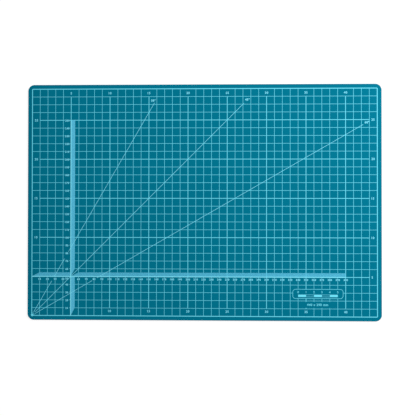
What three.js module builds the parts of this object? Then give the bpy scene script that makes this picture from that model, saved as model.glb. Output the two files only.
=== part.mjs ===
// Craft cutting mat of A3 class: five plastic sheets laminated into one flat board, with a
// centimetre grid, two scales, three angle lines and a label frame printed on the top face.
// Millimetres, +Z up. The origin is the centre of the underside, and +X runs along the mat.

import * as THREE from 'three';

// Outline of the mat
const MAT_LENGTH = 451;
const MAT_WIDTH = 301;
const CORNER_RADIUS = 8;
const CORNER_STEPS = 4;

// Printed grid, of as many whole cells as leave at least the bare margin on every side
const CELL = 10;
const BARE_MARGIN = 5.5;
const BOLD_EVERY = 5;

// Laminated sheets, each given by its thickness, and the glue between two of them
const CUTTING_SHEET = 0.9;
const BUFFER_SHEET = 0.25;
const CORE_SHEET = 0.6;
const GLUE_LINE = 0.025;

// Ink film of one pass of the print, and the widths of its lines
const INK_FILM = 0.02;
const FINE_LINE = 0.45;
const BOLD_LINE = 0.75;
const BORDER_LINE = 0.95;
const ANGLE_LINE = 0.5;
const BORDER_CORNER = 0.8;

// Scales, which start at the border and cross on the first bold lines
const SCALE_LINE = 1.05;
const TICK_LINE = 0.5;
const TICK_LENGTH = 5.2;
const TICK_RAMP = 10;
const TICKS_PER_CELL = 5;

// Angle lines, which fan out from the corner of the grid, in degrees from its upright border
const ANGLES = [30, 45, 60];
const ANGLE_LINE_START = 5;
const ANGLE_LINE_STOP = 18;

// Label frame, placed from the right and lower border lines
const LABEL_LENGTH = 64;
const LABEL_HEIGHT = 12.2;
const LABEL_CORNER = 3.8;
const LABEL_LINE = 0.5;
const LABEL_TO_RIGHT = 43;
const LABEL_TO_BOTTOM = 22.8;
const LABEL_CLEARANCE = 0.3;

// Two edges closer than this are one edge
const SAME_EDGE = 1e-6;

// Largest corner radius, as a share of the shorter side of its rectangle
const MOST_CORNER = 0.45;

// Sizes that follow from these
const wholeCells = (side) => Math.floor((side - 2 * BARE_MARGIN + SAME_EDGE) / CELL);
const CELLS_ALONG = wholeCells(MAT_LENGTH);
const CELLS_ACROSS = wholeCells(MAT_WIDTH);
const GRID_LENGTH = CELLS_ALONG * CELL;
const GRID_WIDTH = CELLS_ACROSS * CELL;
const BOARD = 2 * CUTTING_SHEET + 2 * BUFFER_SHEET + CORE_SHEET + 4 * GLUE_LINE;
const CROSSING = BOLD_EVERY * CELL;
const LABEL_LEFT = GRID_LENGTH - LABEL_TO_RIGHT - LABEL_LENGTH;

// Finishes

function plastic(color, roughness) {
  return new THREE.MeshStandardMaterial({ color, roughness, metalness: 0 });
}

const softVinyl = () => plastic(0x007491, 0.66);
const bufferVinyl = () => plastic(0x0c5a6c, 0.55);
const rigidVinyl = () => plastic(0xd8dad3, 0.5);
const printingInk = () => plastic(0x74dff8, 0.56);

// Outlines and solids

// A corner stays short of half the shorter side, so that the sides keep a straight stretch
function roundedRectangle(left, bottom, length, height, corner) {
  const radius = Math.min(corner, MOST_CORNER * Math.min(length, height));
  const right = left + length;
  const top = bottom + height;
  const quarter = Math.PI / 2;
  const outline = new THREE.Shape();
  outline.absarc(right - radius, bottom + radius, radius, -quarter, 0);
  outline.absarc(right - radius, top - radius, radius, 0, quarter);
  outline.absarc(left + radius, top - radius, radius, quarter, 2 * quarter);
  outline.absarc(left + radius, bottom + radius, radius, 2 * quarter, 3 * quarter);
  outline.closePath();
  return outline;
}

function plate(outline, thickness) {
  return new THREE.ExtrudeGeometry(outline, {
    depth: thickness,
    bevelEnabled: false,
    curveSegments: CORNER_STEPS,
  });
}

function piece(name, geometry, material, height) {
  const mesh = new THREE.Mesh(geometry, material);
  mesh.name = name;
  mesh.position.z = height;
  return mesh;
}

// Sheets of the laminate, from the underside up, all cut to one outline

function sheets() {
  const outline = roundedRectangle(
    -MAT_LENGTH / 2, -MAT_WIDTH / 2, MAT_LENGTH, MAT_WIDTH, CORNER_RADIUS);
  const plies = [
    ['bottom_cutting_sheet', CUTTING_SHEET, softVinyl],
    ['lower_buffer_sheet', BUFFER_SHEET, bufferVinyl],
    ['rigid_core_sheet', CORE_SHEET, rigidVinyl],
    ['upper_buffer_sheet', BUFFER_SHEET, bufferVinyl],
    ['top_cutting_sheet', CUTTING_SHEET, softVinyl],
  ];
  let height = 0;
  return plies.map(([name, thickness, finish]) => {
    const ply = piece(name, plate(outline, thickness), finish(), height);
    height += thickness + GLUE_LINE;
    return ply;
  });
}

// Print. Its coordinates count from the lower left corner of the grid's border.

// Lines of the grid in one direction, from border to border
function gridLines(cells) {
  return Array.from({ length: cells + 1 }, (_, n) => {
    const border = n === 0 || n === cells;
    const bold = !border && n % BOLD_EVERY === 0;
    const innerWidth = bold ? BOLD_LINE : FINE_LINE;
    const half = (border ? BORDER_LINE : innerWidth) / 2;
    return { bold, low: n * CELL - half, high: n * CELL + half };
  });
}

// Stretch that a line covers: from border to border, but a bold one stops on the line before the
// border, because its number stands in the last cell
function reach(line, crossLines) {
  return line.bold
    ? [crossLines.at(1).low, crossLines.at(-2).high]
    : [crossLines.at(0).high, crossLines.at(-1).low];
}

function levelStrip(row, columns) {
  return { x: reach(row, columns), y: [row.low, row.high] };
}

function uprightStrip(column, rows) {
  return { x: [column.low, column.high], y: reach(column, rows) };
}

const within = ([low, high], at) => low < at && at < high;

// Edges of all the strips along one axis, in order, each once
function breaks(strips, axis) {
  const edges = strips.flatMap((strip) => strip[axis]).sort((a, b) => a - b);
  return edges.filter((edge, k) => k === 0 || edge - edges[k - 1] > SAME_EDGE);
}

// One ink film of crossing strips, left open where the label goes. The edges of the strips and of
// the opening cut the field into rectangular cells. Each inked cell has a top and a bottom face, and
// a wall on each side where the next cell is bare.
function lattice(strips, opening) {
  const xs = breaks([...strips, opening], 'x');
  const ys = breaks([...strips, opening], 'y');
  const covers = (strip, x, y) => within(strip.x, x) && within(strip.y, y);
  const inked = (i, j) => {
    const x = (xs[i] + xs[i + 1]) / 2;
    const y = (ys[j] + ys[j + 1]) / 2;
    return !covers(opening, x, y) && strips.some((strip) => covers(strip, x, y));
  };
  const positions = [];
  const face = (a, b, c, d) => positions.push(...a, ...b, ...c, ...a, ...c, ...d);
  const wall = ([ax, ay], [bx, by]) =>
    face([ax, ay, 0], [bx, by, 0], [bx, by, INK_FILM], [ax, ay, INK_FILM]);
  for (let i = 0; i < xs.length - 1; i += 1) {
    for (let j = 0; j < ys.length - 1; j += 1) {
      if (inked(i, j)) {
        const [left, right, bottom, top] = [xs[i], xs[i + 1], ys[j], ys[j + 1]];
        const corners = [[left, bottom], [right, bottom], [right, top], [left, top]];
        const neighbours = [[i, j - 1], [i + 1, j], [i, j + 1], [i - 1, j]];
        face(...corners.map(([x, y]) => [x, y, INK_FILM]));
        face(...corners.map(([x, y]) => [x, y, 0]).reverse());
        neighbours.forEach(([column, row], side) => {
          if (!inked(column, row)) wall(corners[side], corners[(side + 1) % 4]);
        });
      }
    }
  }
  const geometry = new THREE.BufferGeometry();
  geometry.setAttribute('position', new THREE.Float32BufferAttribute(positions, 3));
  geometry.computeVertexNormals();
  return geometry;
}

function labelOutline(inset) {
  return roundedRectangle(
    LABEL_LEFT + inset, LABEL_TO_BOTTOM + inset,
    LABEL_LENGTH - 2 * inset, LABEL_HEIGHT - 2 * inset, LABEL_CORNER - inset);
}

function labelFrame() {
  const outline = labelOutline(0);
  outline.holes.push(labelOutline(LABEL_LINE));
  return plate(outline, INK_FILM);
}

// Opening in the grid that the label frame fits, with its clearance
function labelOpening() {
  return {
    x: [LABEL_LEFT - LABEL_CLEARANCE, LABEL_LEFT + LABEL_LENGTH + LABEL_CLEARANCE],
    y: [LABEL_TO_BOTTOM - LABEL_CLEARANCE, LABEL_TO_BOTTOM + LABEL_HEIGHT + LABEL_CLEARANCE],
  };
}

function gridBorder() {
  const edge = (grow) => roundedRectangle(
    -grow, -grow, GRID_LENGTH + 2 * grow, GRID_WIDTH + 2 * grow, BORDER_CORNER + grow);
  const outline = edge(BORDER_LINE / 2);
  outline.holes.push(edge(-BORDER_LINE / 2));
  return plate(outline, INK_FILM);
}

// Upright lines inside the number columns, tied together by the inner lines of the number rows
function uprightLines() {
  const columns = gridLines(CELLS_ALONG);
  const rows = gridLines(CELLS_ACROSS);
  const strips = [
    ...columns.slice(2, -2).map((column) => uprightStrip(column, rows)),
    ...[rows.at(1), rows.at(-2)].map((row) => levelStrip(row, columns)),
  ];
  return lattice(strips, labelOpening());
}

// Level lines inside the number rows, tied together by the inner lines of the number columns
function levelLines() {
  const columns = gridLines(CELLS_ALONG);
  const rows = gridLines(CELLS_ACROSS);
  const strips = [
    ...rows.slice(2, -2).map((row) => levelStrip(row, columns)),
    ...[columns.at(1), columns.at(-2)].map((column) => uprightStrip(column, rows)),
  ];
  return lattice(strips, labelOpening());
}

// Ticks grow along a ramp, once from the border and again from the crossing of the two scales
function tickLength(at) {
  const start = at < CROSSING ? 0 : CROSSING;
  return Math.min(TICK_LENGTH, ((at - start) / TICK_RAMP) * TICK_LENGTH);
}

// One scale along its first coordinate: a base line with ticks on its far side, placed by toPlane
function scale(gridCells, toPlane) {
  const cells = BOLD_EVERY * Math.floor((gridCells - 1) / BOLD_EVERY);
  const end = cells * CELL;
  const half = SCALE_LINE / 2;
  const points = [[0, -half], [end, -half]];
  for (let n = cells * TICKS_PER_CELL; n > 0; n -= 1) {
    const at = (n * CELL) / TICKS_PER_CELL;
    const tip = tickLength(at);
    const [left, right] = [at - TICK_LINE / 2, Math.min(at + TICK_LINE / 2, end)];
    if (tip > half) {
      points.push([right, half], [right, tip], [left, tip], [left, half]);
    }
  }
  points.push([0, half]);
  const outline = new THREE.Shape(points.map(([along, out]) => toPlane(along, CROSSING + out)));
  return plate(outline, INK_FILM);
}

const longScale = () => scale(CELLS_ALONG, (along, out) => new THREE.Vector2(along, out));
const shortScale = () => scale(CELLS_ACROSS, (along, out) => new THREE.Vector2(out, along));

// One angle line, ending clear of the upper or the right border, whichever it meets first
function angleLine(degrees) {
  const angle = THREE.MathUtils.degToRad(degrees);
  const toTop = (GRID_WIDTH - ANGLE_LINE_STOP) / Math.cos(angle);
  const toRight = (GRID_LENGTH - ANGLE_LINE_STOP) / Math.sin(angle);
  const end = Math.min(toTop, toRight);
  const line = new THREE.BoxGeometry(ANGLE_LINE, end - ANGLE_LINE_START, INK_FILM);
  line.translate(0, (ANGLE_LINE_START + end) / 2, INK_FILM / 2);
  return line.rotateZ(-angle);
}

// Lines that cross lie one film above each other, so that no two of them share a space
function printedLayout() {
  const passes = [
    [
      ['grid_border', gridBorder()],
      ['upright_grid_lines', uprightLines()],
      ['label_frame', labelFrame()],
    ],
    [['level_grid_lines', levelLines()]],
    [['long_scale', longScale()]],
    [['short_scale', shortScale()]],
    ANGLES.map((degrees) => [`angle_line_${degrees}`, angleLine(degrees)]),
  ];
  const layout = new THREE.Group();
  layout.position.set(-GRID_LENGTH / 2, -GRID_WIDTH / 2, BOARD);
  passes.forEach((pass, level) => {
    for (const [name, geometry] of pass) {
      layout.add(piece(name, geometry, printingInk(), level * INK_FILM));
    }
  });
  return layout;
}

const mat = new THREE.Group();
mat.add(...sheets(), printedLayout());

export default mat;
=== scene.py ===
"""Looks of a craft cutting mat: five laminated sheets, and the print on the top one.

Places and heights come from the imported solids. The print is laid out in millimetres from the lower
left corner of the grid's border, with x along the mat and y across it. Meshes are in metres.
"""

import functools
import math

import bmesh
import bpy
import numpy as np
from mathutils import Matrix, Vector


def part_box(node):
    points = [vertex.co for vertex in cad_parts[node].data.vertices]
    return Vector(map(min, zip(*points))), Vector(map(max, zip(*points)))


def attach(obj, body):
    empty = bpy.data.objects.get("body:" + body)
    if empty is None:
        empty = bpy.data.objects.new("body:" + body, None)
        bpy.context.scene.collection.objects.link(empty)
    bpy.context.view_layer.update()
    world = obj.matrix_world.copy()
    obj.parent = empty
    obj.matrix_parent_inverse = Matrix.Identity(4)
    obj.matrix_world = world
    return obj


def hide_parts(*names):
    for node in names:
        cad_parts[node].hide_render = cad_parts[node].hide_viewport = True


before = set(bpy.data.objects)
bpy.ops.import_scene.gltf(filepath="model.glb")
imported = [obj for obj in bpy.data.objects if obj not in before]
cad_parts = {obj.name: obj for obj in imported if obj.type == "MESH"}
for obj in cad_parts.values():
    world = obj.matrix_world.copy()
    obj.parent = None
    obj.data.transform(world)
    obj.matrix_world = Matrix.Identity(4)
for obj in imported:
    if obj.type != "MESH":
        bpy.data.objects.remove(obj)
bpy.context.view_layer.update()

MM = 0.001

# Sheets: radius of the corners, steps of the meshes, rounding of the cut edges, and how far a ply
# stands back
CORNER_RADIUS = 8.0
CORNER_STEPS = 14
FACE_ROWS = 12
FACE_COLUMNS = 18
EDGE_STEPS = 4
FACE_EASE = 0.12
GLUE_EASE = 0.04
BUFFER_RECESS = 0.08
CORE_RECESS = 0.03
SHARP_ANGLE = math.radians(40)

# Print: widths and corners of its lines, and how far the ink sinks into the face
FINE_LINE = 0.45
BOLD_LINE = 0.75
BORDER_LINE = 0.95
BORDER_CORNER = 0.8
ANGLE_LINE = 0.45
LABEL_LINE = 0.5
LABEL_CORNER = 3.8
ROUND_STEPS = 10
INK_SINK = 0.01

# Grid of centimetre cells, with a bold line and a number every five of them
CELL = 10.0
BOLD_EVERY = 5

# Scales: base lines on the first bold lines, from the border to their ends, with a tick every millimetre
CROSSING = BOLD_EVERY * CELL
LONG_SCALE_END = 400
SHORT_SCALE_END = 250
SCALE_LINE = 1.05
LONG_SCALE_TICK = 0.5
SHORT_SCALE_TICK = 0.64
TICK_LENGTH = 5.2
TICK_RAMP = 10.0

# Lettering, in the font's own units: steps on each curve, points that count as one, and two weights,
# each with how far the outlines are thickened and how widely the letters are spaced. An anchor is the
# share of the words that lies left of their place.
GLYPH_STEPS = 3
SAME_POINT = 1e-5
LIGHT = (0.024, 1.15)
BOLD = (0.04, 1.18)
CENTRED = 0.5
FROM_LEFT = 0.0

# Numbers: height of the digits, and where each row or column of them stands. They are centred there,
# but those of the right column start from its place.
EDGE_DIGITS = 2.95
TOP_ROW = 284.6
BOTTOM_ROW = 6.1
LEFT_COLUMN = 5.2
RIGHT_COLUMN = 432.6
LONG_SCALE_DIGITS = 2.5
LONG_SCALE_ROW = 46.65
SHORT_SCALE_DIGITS = 2.5
SHORT_SCALE_COLUMN = 45.0
SHORT_SCALE_DROP = 0.4
SHARED_NUMBER = (44.9, 47.3)

# Angle lines: stretches of each, in distance from the grid's corner, with gaps at the numbers of the
# scales, and where its own number stands
TO_END = math.inf
ANGLE_STRETCHES = {
    30: [(5.0, 51.0), (57.3, 84.0), (94.4, TO_END)],
    45: [(6.2, 383.6)],
    60: [(5.0, 89.3), (96.7, TO_END)],
}
ANGLE_DIGITS = 2.9
ANGLE_NUMBERS = {30: (155.6, 275.0), 45: (275.6, 275.9), 60: (427.0, 246.5)}

# Clear places in the grid behind numbers and words: left, right, bottom, top
LONG_SCALE_CLEAR = (5.0, 405.0, 45.0, 48.2)
SHORT_SCALE_CLEAR = (41.7, 47.9, 5.0, 255.0)
WORDS_CLEAR = (346.0, 384.0, 11.2, 18.8)

# Bar scale inside the label frame, and the size of the grid under it
BAR_CELLS = 5
BAR_HEIGHT = 3.0
BAR_LINE = 0.4
BAR_DROP = 2.4
BAR_DIGITS = 2.7
BAR_DIGITS_LIFT = 2.3
SIZE_WORDS_HEIGHT = 3.0
SIZE_WORDS_PLACE = (364.5, 15.2)

# Mark on the corner that the angles are measured from: a dot, and rays from one distance to another
ORIGIN_DOT_RADIUS = 1.7
ORIGIN_DOT_PLACE = (0.6, 0.6)
ORIGIN_RAYS = (3.0, 4.3)
ORIGIN_RAY_LINE = 0.25
ORIGIN_RAY_STEP = 15
DOT_STEPS = 24

# Sizes that follow from the solids
FACE_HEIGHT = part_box("top_cutting_sheet")[1].z / MM
BORDER_LOW, BORDER_HIGH = (np.array(corner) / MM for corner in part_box("grid_border"))
GRID_CORNER = BORDER_LOW[:2] + BORDER_LINE / 2
GRID_LENGTH, GRID_WIDTH = BORDER_HIGH[:2] - BORDER_LOW[:2] - BORDER_LINE
CELLS_ALONG = round(GRID_LENGTH / CELL)
CELLS_ACROSS = round(GRID_WIDTH / CELL)
LABEL_LOW, LABEL_HIGH = (np.array(corner)[:2] / MM - GRID_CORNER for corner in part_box("label_frame"))
SIZE_WORDS = f"{GRID_LENGTH:.0f} x {GRID_WIDTH:.0f} mm"

# Colours, in sRGB from 0 to 255. A pair holds the two ends of a finish's pattern.
TEAL_VINYL = (0, 114, 140), (0, 117, 144)
TEAL_SPECKLE = (0, 106, 131)
# Painted shade: a darker teal laid on the rounded cut edge of the cutting sheets, where it turns from the
# light
TEAL_EDGE_PAINTED_SHADE = (0, 98, 122)
DARK_TEAL_VINYL = (8, 82, 100), (14, 96, 114)
PALE_CORE_VINYL = (205, 208, 200), (224, 226, 219)
LIGHT_CYAN_INK = (105, 220, 242), (113, 226, 247)
PALE_BLUE_INK = (124, 229, 252), (132, 234, 255)
SKY_BLUE_INK = (104, 215, 252), (112, 222, 255)

# Pebbled grain of the cutting vinyl, in millimetres, which shows through the ink
PEBBLE = 0.55

# Light, in metres and watts: a softbox, and the strength of an even light from all round
KEY_PLACE = (0.76, 0.47, 0.9)
KEY_SIZE = 0.55
KEY_POWER = 16.0
WORLD_LIGHT = 0.3

# Floor, in metres. The camera sees a share of its pale surface, which takes the shadow, and a glow.
FLOOR_SIZE = 8.0
FLOOR_DROP = 0.00005
FLOOR_PALE = 0.82
FLOOR_PALE_SHARE = 0.25
FLOOR_GLOW = 0.87

# Camera: focal length and sensor in millimetres, place in metres, turn in degrees
CAMERA_LENS = 50.0
CAMERA_SENSOR = 36.0
CAMERA_PLACE = (0.0222, -0.0137, 0.7387)
CAMERA_TURN = (0.499, 1.292, 0.065)


# Materials

def srgb(colour):
    """Linear colour, with its opacity, of an sRGB colour given from 0 to 255.

    A share of 255 up to 0.04045 is divided by 12.92. A larger one is ((share + 0.055) / 1.055) ^ 2.4.
    """
    share = np.array(colour) / 255
    linear = np.where(share <= 0.04045, share / 12.92, ((share + 0.055) / 1.055) ** 2.4)
    return (*linear.tolist(), 1.0)


class Finish:
    """A material built round one Principled shader, with its patterns on Object coordinates."""

    def __init__(self, name, specular):
        """A plain material with its share of mirrored light, and the coordinates for its patterns."""
        self.material = bpy.data.materials.new(name)
        self.material.use_nodes = True
        self.tree = self.material.node_tree
        self.shader = self.tree.nodes["Principled BSDF"]
        self.shader.inputs["Specular IOR Level"].default_value = specular
        self.place = self.tree.nodes.new("ShaderNodeTexCoord").outputs["Object"]

    def node(self, kind, **settings):
        """A new node of a kind, with its settings."""
        made = self.tree.nodes.new(kind)
        for name, value in settings.items():
            setattr(made, name, value)
        return made

    def link(self, source, target):
        """A link from an output socket to an input socket."""
        self.tree.links.new(source, target)

    def noise(self, size, detail=2.0):
        """Soft random pattern whose patches are about size millimetres across."""
        made = self.node("ShaderNodeTexNoise")
        made.inputs["Scale"].default_value = 1 / (size * MM)
        made.inputs["Detail"].default_value = detail
        self.link(self.place, made.inputs["Vector"])
        return made.outputs["Fac"]

    def pebbles(self, size):
        """Rounded pebble grain, each pebble about size millimetres across."""
        made = self.node("ShaderNodeTexVoronoi", feature="SMOOTH_F1")
        made.inputs["Scale"].default_value = 1 / (size * MM)
        self.link(self.place, made.inputs["Vector"])
        return made.outputs["Distance"]

    def attribute(self, name):
        """A value that the mesh holds for each of its points."""
        return self.node("ShaderNodeAttribute", attribute_name=name).outputs["Fac"]

    def spread(self, pattern, low=0.0, high=1.0, start=0.3, end=0.7):
        """The pattern's range from start to end, stretched to run from low to high."""
        made = self.node("ShaderNodeMapRange")
        made.inputs["From Min"].default_value = start
        made.inputs["From Max"].default_value = end
        made.inputs["To Min"].default_value = low
        made.inputs["To Max"].default_value = high
        self.link(pattern, made.inputs["Value"])
        return made.outputs["Result"]

    def add(self, first, second):
        """The sum of two patterns."""
        made = self.node("ShaderNodeMath", operation="ADD")
        self.link(first, made.inputs[0])
        self.link(second, made.inputs[1])
        return made.outputs[0]

    def mix(self, share, first, second):
        """From the first to the second, each an sRGB colour or a socket, by the share."""
        made = self.node("ShaderNodeMix", data_type="RGBA")
        self.link(share, made.inputs["Factor"])
        sockets = [socket for socket in made.inputs if socket.type == "RGBA"]
        for socket, colour in zip(sockets, (first, second)):
            if isinstance(colour, bpy.types.NodeSocket):
                self.link(colour, socket)
            else:
                socket.default_value = srgb(colour)
        return next(socket for socket in made.outputs if socket.type == "RGBA")

    def colour(self, source):
        """Base colour from a socket."""
        self.link(source, self.shader.inputs["Base Color"])

    def rough(self, pattern, low, high):
        """Roughness that follows a pattern from low to high."""
        self.link(self.spread(pattern, low, high), self.shader.inputs["Roughness"])

    def bump(self, height, depth, strength):
        """Relief of depth millimetres from a height pattern."""
        made = self.node("ShaderNodeBump")
        made.inputs["Strength"].default_value = strength
        made.inputs["Distance"].default_value = depth * MM
        self.link(height, made.inputs["Height"])
        self.link(made.outputs["Normal"], self.shader.inputs["Normal"])


def soft_vinyl():
    """Teal cutting vinyl: cloudy pigment, fine speckle, a pebbled matt grain, and painted shade on the cut
    edge.
    """
    finish = Finish("soft_teal_vinyl", specular=0.015)
    clouds = finish.spread(finish.noise(size=60, detail=3))
    pigment = finish.mix(clouds, *TEAL_VINYL)
    speckle = finish.spread(finish.noise(size=0.5), high=0.4)
    body = finish.mix(speckle, pigment, TEAL_SPECKLE)
    # Painted shade: the cut edge is mixed towards the darker teal
    cut = finish.spread(finish.attribute("edge_shade_mask"), high=0.6, start=0.5, end=1)
    finish.colour(finish.mix(cut, body, TEAL_EDGE_PAINTED_SHADE))
    finish.rough(finish.noise(size=1.2), low=0.62, high=0.74)
    finish.bump(finish.add(finish.pebbles(PEBBLE), finish.noise(size=0.25)), depth=0.06, strength=0.7)
    return finish.material


def buffer_vinyl():
    """Denser, darker teal vinyl between the cutting sheets and the core, seen on the cut edge."""
    finish = Finish("dark_teal_vinyl", specular=0.25)
    streaks = finish.spread(finish.noise(size=0.8, detail=4))
    finish.colour(finish.mix(streaks, *DARK_TEAL_VINYL))
    finish.rough(finish.noise(size=0.4), low=0.5, high=0.65)
    finish.bump(finish.noise(size=0.2), depth=0.02, strength=0.4)
    return finish.material


def core_vinyl():
    """Pale rigid core: off-white with grey flecks."""
    finish = Finish("pale_core_vinyl", specular=0.35)
    flecks = finish.spread(finish.noise(size=0.6, detail=4))
    finish.colour(finish.mix(flecks, *PALE_CORE_VINYL))
    finish.rough(finish.noise(size=0.3), low=0.42, high=0.58)
    finish.bump(finish.noise(size=0.25), depth=0.02, strength=0.4)
    return finish.material


def screen_ink(name, colours):
    """Printing ink: slightly uneven cover, over the pebbled grain of the vinyl."""
    finish = Finish(name, specular=0.05)
    cover = finish.spread(finish.noise(size=1.4, detail=3))
    finish.colour(finish.mix(cover, *colours))
    finish.rough(finish.noise(size=0.8), low=0.5, high=0.62)
    finish.bump(finish.pebbles(PEBBLE), depth=0.02, strength=0.3)
    return finish.material


# Pieces

def in_scene(name, data):
    """A new object at the origin, linked to the scene."""
    made = bpy.data.objects.new(name, data)
    bpy.context.scene.collection.objects.link(made)
    return made


def piece(name, vertices, faces, material):
    """A mesh from vertices in millimetres and a list of face arrays, riding on the mat."""
    mesh = bpy.data.meshes.new(name)
    mesh.from_pydata((vertices * MM).tolist(), [], [face for group in faces for face in group.tolist()])
    mesh.materials.append(material)
    made = in_scene(name, mesh)
    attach(made, "root")
    return made


def grid_quads(rows, columns):
    """Quads of a grid of points numbered row by row, counter-clockwise from above."""
    first = (np.arange(rows - 1)[:, None] * columns + np.arange(columns - 1)).ravel()
    return np.stack([first, first + 1, first + columns + 1, first + columns], 1)


def grid_rim(rows, columns):
    """Numbers of a grid's outer points, once round, counter-clockwise from above."""
    number = np.arange(rows * columns).reshape(rows, columns)
    return np.concatenate([number[0], number[1:, -1], number[-1, -2::-1], number[-2:0:-1, 0]])


def rounded_face(length, width, radius):
    """A rounded rectangle as a grid of points, with the outward direction at its rim.

    A row at height y runs from -h to h in even steps, where h = length / 2 - radius + sqrt(radius^2 -
    c^2) and c is how far y lies past the centres of the corner arcs. Rows follow the arcs in equal
    angles and are evenly spread between them. Outwards is along the arc's radius at a row's ends, and
    straight across the mat on the first and the last row.
    """
    turn = np.linspace(0, math.pi / 2, CORNER_STEPS + 1)
    arc = radius * (1 - np.cos(turn)) - width / 2
    straight = np.linspace(radius - width / 2, width / 2 - radius, FACE_ROWS + 1)[1:-1]
    height = np.concatenate([arc, straight, -arc[::-1]])
    lean = np.sign(height) * np.clip(np.abs(height) - width / 2 + radius, 0, radius) / radius
    level = np.sqrt(1 - lean ** 2)
    half = length / 2 - radius + radius * level
    share = np.linspace(-1, 1, FACE_COLUMNS + 1)
    points = np.stack(np.broadcast_arrays(half[:, None] * share, height[:, None]), -1)
    outward = np.zeros_like(points)
    outward[:, 0] = np.stack([-level, lean], -1)
    outward[:, -1] = np.stack([level, lean], -1)
    outward[0] = (0, -1)
    outward[-1] = (0, 1)
    return points, outward


def sheet(name, recess, upper_ease, lower_ease, material):
    """One ply: two flat faces, and an edge whose profile is carried round the outline.

    The profile leaves the upper face along a quarter circle, drops straight to the lower quarter circle
    and follows it to the lower face: out = ease * sin(turn), drop = ease * (1 - cos(turn)). A point
    attribute, 1 on the edge and 0 on the faces, places the painted shade of the cut edge.
    """
    low, high = (np.array(corner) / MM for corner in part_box(name))
    length, width = (high - low)[:2] - 2 * recess
    turn = np.linspace(0, math.pi / 2, EDGE_STEPS + 1)[1:, None, None]
    faces = []
    rings = []
    for ease, height, side in ((upper_ease, high[2], 1), (lower_ease, low[2], -1)):
        points, outward = rounded_face(length - 2 * ease, width - 2 * ease, CORNER_RADIUS - recess - ease)
        rows, columns = points.shape[:2]
        rim = grid_rim(rows, columns)
        flat = points.reshape(-1, 2)
        faces.append(np.column_stack([flat, np.full(len(flat), height)]))
        edge = flat[rim] + ease * np.sin(turn) * outward.reshape(-1, 2)[rim]
        level = np.broadcast_to(height - side * ease * (1 - np.cos(turn)), (*edge.shape[:2], 1))
        rings.append(np.concatenate([edge, level], 2)[::side])
    count = len(faces[0])
    edge = np.concatenate(rings)
    vertices = np.concatenate([*faces, edge.reshape(-1, 3)])
    around = 2 * count + np.arange(edge[..., 0].size).reshape(edge.shape[:2])
    loops = np.concatenate([rim[None], around, rim[None] + count])
    over, under = loops[:-1], loops[1:]
    walls = np.stack([over, under, np.roll(under, -1, 1), np.roll(over, -1, 1)], -1).reshape(-1, 4)
    top = grid_quads(rows, columns)
    made = piece(f"{name}_skin", vertices, [top, top[:, ::-1] + count, walls], material)
    # Mask for the painted shade on the cut edge: 1 on the edge, 0 on the faces
    cut = np.repeat([0.0, 1.0], [2 * count, edge[..., 0].size])
    made.data.attributes.new("edge_shade_mask", "FLOAT", "POINT").data.foreach_set("value", cut)
    made.data.shade_smooth()
    made.data.set_sharp_from_angle(angle=SHARP_ANGLE)
    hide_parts(name)


def film(name, flat, level, ink, *replaced):
    """Ink raised from a flat mesh: the mesh level with a node's top, its copy turned over below, and walls.

    A wall stands on every edge that only one face uses, so the film is closed.
    """
    points, faces = flat
    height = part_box(level)[1].z / MM
    count = len(points)
    tail = faces.ravel()
    head = np.roll(faces, -1, 1).ravel()
    rim = ~np.isin(tail * count + head, head * count + tail)
    walls = np.stack([tail[rim], tail[rim] + count, head[rim] + count, head[rim]], 1)
    heights = np.repeat([height, FACE_HEIGHT - INK_SINK], count)
    vertices = np.column_stack([np.tile(points + GRID_CORNER, (2, 1)), heights])
    made = piece(name, vertices, [faces, faces[:, ::-1] + count, walls], ink)
    if replaced:
        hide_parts(*replaced)


# Flat meshes for the print: points on the grid, and faces counter-clockwise from above

def together(flats):
    """Several flat meshes with the same kind of face as one."""
    starts = np.cumsum([0] + [len(points) for points, _ in flats])
    faces = [mesh_faces + start for (_, mesh_faces), start in zip(flats, starts)]
    return np.concatenate([points for points, _ in flats]), np.concatenate(faces)


def rectangles(edges):
    """Separate rectangles, each given by its left, right, bottom and top."""
    left, right, bottom, top = np.array(edges, float).T
    x = np.stack([left, right, right, left], 1)
    y = np.stack([bottom, bottom, top, top], 1)
    points = np.stack([x, y], -1).reshape(-1, 2)
    return points, np.arange(len(points)).reshape(-1, 4)


def lattice(strips, clear):
    """Rectangles run into one, less the clear ones, each given by its left, right, bottom and top.

    All their edges, to the nearest thousandth, cut the field into cells. The flat mesh holds the cells
    that a strip covers and nothing clears, with the points that they share.
    """
    edges = np.array([*strips, *clear], float).round(3)
    xs = np.unique(edges[:, :2])
    ys = np.unique(edges[:, 2:])
    inked = np.zeros((len(xs) - 1, len(ys) - 1), bool)
    for number, (left, right, bottom, top) in enumerate(edges):
        columns = slice(*np.searchsorted(xs, (left, right)))
        rows = slice(*np.searchsorted(ys, (bottom, top)))
        inked[columns, rows] = number < len(strips)
    column, row = np.nonzero(inked)
    first = column * len(ys) + row
    quads = np.stack([first, first + len(ys), first + len(ys) + 1, first + 1], 1)
    used, faces = np.unique(quads, return_inverse=True)
    return np.stack([xs[used // len(ys)], ys[used % len(ys)]], 1), faces.reshape(-1, 4)


def rounded_band(left, right, bottom, top, corner, width):
    """A band along a rounded rectangle, with half its width on either side of the path.

    Each corner is a quarter circle, centre + (corner - or + width / 2) * (cos(turn), sin(turn)), and
    straight quads join the corners.
    """
    turn = np.linspace(0, math.pi / 2, ROUND_STEPS + 1) + np.arange(4)[:, None] * math.pi / 2
    outward = np.stack([np.cos(turn), np.sin(turn)], -1)
    centres = np.array([
        (right - corner, top - corner), (left + corner, top - corner),
        (left + corner, bottom + corner), (right - corner, bottom + corner)])
    inner = (centres[:, None] + (corner - width / 2) * outward).reshape(-1, 2)
    outer = (centres[:, None] + (corner + width / 2) * outward).reshape(-1, 2)
    number = np.arange(len(inner))
    ahead = np.roll(number, -1)
    faces = np.stack([number, number + len(inner), ahead + len(inner), ahead], 1)
    return np.concatenate([inner, outer]), faces


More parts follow.
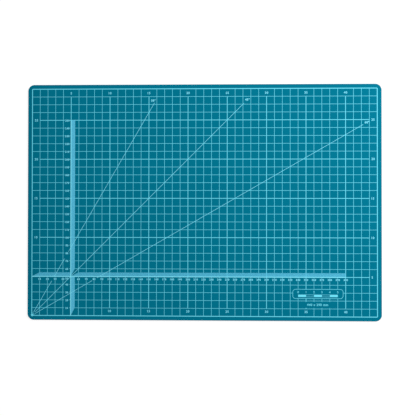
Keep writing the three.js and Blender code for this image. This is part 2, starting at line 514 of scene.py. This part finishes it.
def rays(degrees, stretches, width):
    """Straight bands on a ray from the corner, at an angle from the upright border.

    A point is distance * (sin(angle), cos(angle)), moved aside by half the width.
    """
    angle = math.radians(degrees)
    along = np.array([math.sin(angle), math.cos(angle)])
    aside = np.array([math.cos(angle), -math.sin(angle)])
    start, stop = np.array(stretches, float).T
    distance = np.stack([start, stop, stop, start], 1)[..., None]
    offset = np.array([1, 1, -1, -1])[:, None] * width / 2
    points = (distance * along + offset * aside).reshape(-1, 2)
    return points, np.arange(len(points)).reshape(-1, 4)


def disc(place, radius):
    """A disc about a place, as triangles from its centre to points in equal angles."""
    turn = np.linspace(0, 2 * math.pi, DOT_STEPS, endpoint=False)
    rim = radius * np.stack([np.cos(turn), np.sin(turn)], 1)
    number = np.arange(1, DOT_STEPS + 1)
    faces = np.stack([np.zeros_like(number), number, np.roll(number, -1)], 1)
    return np.concatenate([np.zeros((1, 2)), rim]) + place, faces


@functools.cache
def glyphs(words, boldness, spacing):
    """Outlines of some words in the built-in font, filled with triangles, in the font's own units.

    The edges between triangles are turned for a better shape, because three of the font's points in
    one line leave a triangle with no area.
    """
    curve = bpy.data.curves.new("words", "FONT")
    curve.body = words
    curve.resolution_u = GLYPH_STEPS
    curve.offset = boldness
    curve.space_character = spacing
    text = bpy.data.objects.new("words", curve)
    mesh = bpy.data.meshes.new_from_object(text)
    filled = bmesh.new()
    filled.from_mesh(mesh)
    bmesh.ops.remove_doubles(filled, verts=filled.verts, dist=SAME_POINT)
    bmesh.ops.beautify_fill(filled, faces=filled.faces, edges=filled.edges)
    filled.to_mesh(mesh)
    filled.free()
    places = np.empty(len(mesh.vertices) * 3)
    mesh.vertices.foreach_get("co", places)
    corners = np.empty(len(mesh.loops), int)
    mesh.loops.foreach_get("vertex_index", corners)
    bpy.data.meshes.remove(mesh)
    bpy.data.objects.remove(text)
    bpy.data.curves.remove(curve)
    return places.reshape(-1, 3)[:, :2], corners.reshape(-1, 3)


def lettering(words, place, digit_height, weight=LIGHT, anchor=CENTRED):
    """Words with the anchor's share of their width left of a place, scaled to a digit's height."""
    points, faces = glyphs(str(words), *weight)
    digit = glyphs("0", *weight)[0][:, 1]
    held = (points[:, 0].min() + anchor * np.ptp(points[:, 0]), (digit.min() + digit.max()) / 2)
    return (points - held) * digit_height / np.ptp(digit) + place, faces


# Print

def grid_strips(count, reach, full_reach, scale_end):
    """Lines across one side of the grid: their two edges and the stretch that they cover.

    Fine lines run from border to border. Bold ones stop on the last line before it, and the first bold
    one starts where the scale that lies on it ends.
    """
    for number in range(1, count):
        bold = number % BOLD_EVERY == 0
        half = (BOLD_LINE if bold else FINE_LINE) / 2
        start, stop = reach if bold else full_reach
        if number == BOLD_EVERY:
            start = scale_end
        yield number * CELL - half, number * CELL + half, start, stop


def inner_reach(length):
    """From the outer edge of the first fine line to that of the last one."""
    return CELL - FINE_LINE / 2, length - CELL + FINE_LINE / 2


def border_reach(length):
    """From the inner edge of one border line to that of the other."""
    return BORDER_LINE / 2, length - BORDER_LINE / 2


def printed_grid(ink):
    """All lines of the grid as one film, open behind numbers, words and the label, and its border."""
    uprights = grid_strips(CELLS_ALONG, inner_reach(GRID_WIDTH), border_reach(GRID_WIDTH), SHORT_SCALE_END)
    levels = grid_strips(CELLS_ACROSS, inner_reach(GRID_LENGTH), border_reach(GRID_LENGTH), LONG_SCALE_END)
    strips = [
        *uprights,
        *((left, right, low, high) for low, high, left, right in levels),
    ]
    label_clear = np.stack([LABEL_LOW + LABEL_LINE, LABEL_HIGH - LABEL_LINE], 1).ravel()
    grid = lattice(strips, [LONG_SCALE_CLEAR, SHORT_SCALE_CLEAR, WORDS_CLEAR, label_clear])
    film("printed_grid", grid, "level_grid_lines", ink, "upright_grid_lines", "level_grid_lines")
    border = rounded_band(0, GRID_LENGTH, 0, GRID_WIDTH, BORDER_CORNER, BORDER_LINE)
    film("printed_border", border, "grid_border", ink, "grid_border")


def scale_line(scale_end):
    """Along and out edges of a scale's base line."""
    return np.array([(0, scale_end, CROSSING - SCALE_LINE / 2, CROSSING + SCALE_LINE / 2)])


def scale_ticks(scale_end, tick_width):
    """Along and out edges of a scale's ticks, which stand on its base line.

    A tick's length grows evenly along a ramp, once from the border and again from the crossing. Ticks
    that don't reach past the base line are left out.
    """
    at = np.arange(1.0, scale_end + 1)
    start = np.where(at < CROSSING, 0, CROSSING)
    tip = np.minimum((at - start) / TICK_RAMP, 1) * TICK_LENGTH
    half = SCALE_LINE / 2
    at, tip = at[tip > half], tip[tip > half]
    right = np.minimum(at + tick_width / 2, scale_end)
    return np.stack([at - tick_width / 2, right, np.full_like(at, CROSSING + half), CROSSING + tip], 1)


def printed_scales(line_ink, tick_ink):
    """Two scales. The edges of the short one swap places, because it runs across the mat."""
    scales = (
        ("long_scale", LONG_SCALE_END, LONG_SCALE_TICK, [0, 1, 2, 3]),
        ("short_scale", SHORT_SCALE_END, SHORT_SCALE_TICK, [2, 3, 0, 1]),
    )
    for node, end, tick_width, order in scales:
        film(f"{node}_line", rectangles(scale_line(end)[:, order]), node, line_ink, node)
        film(f"{node}_ticks", rectangles(scale_ticks(end, tick_width)[:, order]), node, tick_ink, node)


def printed_angles(ink):
    """Angle lines, none longer than its solid, and their numbers."""
    for degrees, stretches in ANGLE_STRETCHES.items():
        node = f"angle_line_{degrees}"
        end = np.linalg.norm(np.array(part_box(node)[1])[:2] / MM - GRID_CORNER)
        reach = [(start, min(stop, end)) for start, stop in stretches]
        film(f"printed_{node}", rays(degrees, reach, ANGLE_LINE), node, ink, node)
    numbers = [
        lettering(f"{degrees}°", place, ANGLE_DIGITS, BOLD)
        for degrees, place in ANGLE_NUMBERS.items()]
    film("angle_numbers", together(numbers), "long_scale", ink)


def edge_numbers(ink):
    """Centimetres at the ends of the bold lines, but none where a scale starts."""
    along = range(BOLD_EVERY, CELLS_ALONG, BOLD_EVERY)
    across = range(BOLD_EVERY, CELLS_ACROSS, BOLD_EVERY)
    centred = [
        *((number, (number * CELL, TOP_ROW)) for number in along),
        *((number, (number * CELL, BOTTOM_ROW)) for number in along[1:]),
        *((number, (LEFT_COLUMN, number * CELL)) for number in across[1:]),
    ]
    right_column = [(number, (RIGHT_COLUMN, number * CELL)) for number in across]
    edge = [
        *(lettering(*each, EDGE_DIGITS) for each in centred),
        *(lettering(*each, EDGE_DIGITS, anchor=FROM_LEFT) for each in right_column),
    ]
    film("edge_numbers", together(edge), "grid_border", ink)


def scale_numbers(ink):
    """Millimetres along the two scales. One number serves both where they cross."""
    step = int(CELL)
    long_row = [
        (at, (at, LONG_SCALE_ROW))
        for at in range(step, LONG_SCALE_END + 1, step) if at != CROSSING]
    long_row.append((int(CROSSING), SHARED_NUMBER))
    long_numbers = [lettering(*each, LONG_SCALE_DIGITS, BOLD) for each in long_row]
    film("long_scale_numbers", together(long_numbers), "grid_border", ink)
    short_column = [
        (at, (SHORT_SCALE_COLUMN, at - SHORT_SCALE_DROP))
        for at in range(step, SHORT_SCALE_END + 1, step) if at != CROSSING]
    short_numbers = [lettering(*each, SHORT_SCALE_DIGITS, BOLD) for each in short_column]
    film("short_scale_numbers", together(short_numbers), "grid_border", ink)


def printed_label_frame(ink):
    """Rounded frame that fills the box of its solid."""
    half = LABEL_LINE / 2
    left, bottom = LABEL_LOW + half
    right, top = LABEL_HIGH - half
    band = rounded_band(left, right, bottom, top, LABEL_CORNER - half, LABEL_LINE)
    film("printed_label_frame", band, "label_frame", ink, "label_frame")


def label_bar(ink):
    """Bar scale in the middle of the label, every other cell filled, its numbers, and the grid's size."""
    middle = (LABEL_LOW + LABEL_HIGH) / 2
    start = middle[0] - BAR_CELLS * CELL / 2
    stop = start + BAR_CELLS * CELL
    low = middle[1] - BAR_DROP - BAR_HEIGHT / 2
    high = low + BAR_HEIGHT
    filled = start + CELL * np.arange(0, BAR_CELLS, 2)
    bar = [
        (start, stop, low, low + BAR_LINE),
        (start, stop, high - BAR_LINE, high),
        *((left, left + CELL, low, high) for left in filled),
    ]
    film("label_bar_scale", lattice(bar, []), "label_frame", ink)
    digits = [
        lettering(number, (start + number * CELL, middle[1] + BAR_DIGITS_LIFT), BAR_DIGITS)
        for number in range(BAR_CELLS + 1)]
    film("label_bar_numbers", together(digits), "label_frame", ink)
    film("size_words", lettering(SIZE_WORDS, SIZE_WORDS_PLACE, SIZE_WORDS_HEIGHT), "label_frame", ink)


def origin_mark(ink):
    """A dot on the grid's corner, and a fan of short rays between the two borders."""
    film("origin_dot", disc(ORIGIN_DOT_PLACE, ORIGIN_DOT_RADIUS), "angle_line_45", ink)
    fan = [
        rays(degrees, [ORIGIN_RAYS], ORIGIN_RAY_LINE)
        for degrees in range(ORIGIN_RAY_STEP, 90, ORIGIN_RAY_STEP)]
    film("origin_fan", together(fan), "long_scale", ink)


# Stage

def white_to_camera(tree):
    """1 for camera, glossy and transmission rays, and 0 for those that light the object."""
    path = tree.nodes.new("ShaderNodeLightPath")
    total = path.outputs["Is Camera Ray"]
    for name in ("Is Glossy Ray", "Is Transmission Ray"):
        larger = tree.nodes.new("ShaderNodeMath")
        larger.operation = "MAXIMUM"
        tree.links.new(total, larger.inputs[0])
        tree.links.new(path.outputs[name], larger.inputs[1])
        total = larger.outputs[0]
    return total


def floor():
    """Pale floor that glows for the camera, so that it shows white and keeps the mat's shadow."""
    half = FLOOR_SIZE / 2
    mesh = bpy.data.meshes.new("floor")
    corners = [(-half, -half), (half, -half), (half, half), (-half, half)]
    mesh.from_pydata([(x, y, -FLOOR_DROP) for x, y in corners], [], [(0, 1, 2, 3)])
    material = bpy.data.materials.new("pale_floor")
    material.use_nodes = True
    tree = material.node_tree
    tree.nodes.clear()
    pale = tree.nodes.new("ShaderNodeBsdfDiffuse")
    pale.inputs["Color"].default_value = (FLOOR_PALE, FLOOR_PALE, FLOOR_PALE, 1)
    glow = tree.nodes.new("ShaderNodeEmission")
    glow.inputs["Strength"].default_value = FLOOR_GLOW / (1 - FLOOR_PALE_SHARE)
    shown = tree.nodes.new("ShaderNodeMixShader")
    share = tree.nodes.new("ShaderNodeMath")
    share.operation = "MULTIPLY"
    share.inputs[1].default_value = 1 - FLOOR_PALE_SHARE
    output = tree.nodes.new("ShaderNodeOutputMaterial")
    tree.links.new(white_to_camera(tree), share.inputs[0])
    tree.links.new(share.outputs[0], shown.inputs["Fac"])
    tree.links.new(pale.outputs[0], shown.inputs[1])
    tree.links.new(glow.outputs[0], shown.inputs[2])
    tree.links.new(shown.outputs[0], output.inputs["Surface"])
    mesh.materials.append(material)
    made = in_scene("floor", mesh)


def world_light():
    """Even grey light from all round, shown to the camera as white."""
    world = bpy.data.worlds.new("studio")
    world.use_nodes = True
    tree = world.node_tree
    background = tree.nodes["Background"]
    background.inputs["Color"].default_value = (1, 1, 1, 1)
    strength = tree.nodes.new("ShaderNodeMapRange")
    strength.inputs["To Min"].default_value = WORLD_LIGHT
    tree.links.new(white_to_camera(tree), strength.inputs["Value"])
    tree.links.new(strength.outputs["Result"], background.inputs["Strength"])
    bpy.context.scene.world = world


def key_light():
    """Softbox high to the right of the mat and behind it, turned to its centre."""
    lamp = bpy.data.lights.new("softbox", "AREA")
    lamp.energy = KEY_POWER
    lamp.size = KEY_SIZE
    made = in_scene("softbox", lamp)
    made.location = KEY_PLACE
    made.rotation_euler = made.location.to_track_quat("Z", "Y").to_euler()
    made.visible_camera = False


def camera():
    """Camera above the mat, a little off its centre and turned by about a degree."""
    lens = bpy.data.cameras.new("camera")
    lens.lens = CAMERA_LENS
    lens.sensor_width = CAMERA_SENSOR
    made = in_scene("camera", lens)
    made.location = CAMERA_PLACE
    made.rotation_euler = [math.radians(turn) for turn in CAMERA_TURN]
    bpy.context.scene.camera = made


def laminate():
    """The five plies, from the underside up. The two outer faces have the larger rounding."""
    vinyl, buffer, core = soft_vinyl(), buffer_vinyl(), core_vinyl()
    sheet("bottom_cutting_sheet", 0, GLUE_EASE, FACE_EASE, vinyl)
    sheet("lower_buffer_sheet", BUFFER_RECESS, GLUE_EASE, GLUE_EASE, buffer)
    sheet("rigid_core_sheet", CORE_RECESS, GLUE_EASE, GLUE_EASE, core)
    sheet("upper_buffer_sheet", BUFFER_RECESS, GLUE_EASE, GLUE_EASE, buffer)
    sheet("top_cutting_sheet", 0, FACE_EASE, GLUE_EASE, vinyl)


def printing():
    """The whole print: grid, label and origin mark in light cyan, ticks in sky blue, the rest paler."""
    ink = screen_ink("light_cyan_ink", LIGHT_CYAN_INK)
    pale_ink = screen_ink("pale_blue_ink", PALE_BLUE_INK)
    tick_ink = screen_ink("sky_blue_ink", SKY_BLUE_INK)
    printed_grid(ink)
    printed_scales(pale_ink, tick_ink)
    printed_angles(pale_ink)
    edge_numbers(pale_ink)
    scale_numbers(pale_ink)
    printed_label_frame(ink)
    label_bar(ink)
    origin_mark(ink)


bpy.context.scene.view_settings.view_transform = "Standard"
camera()
floor()
world_light()
key_light()
laminate()
printing()
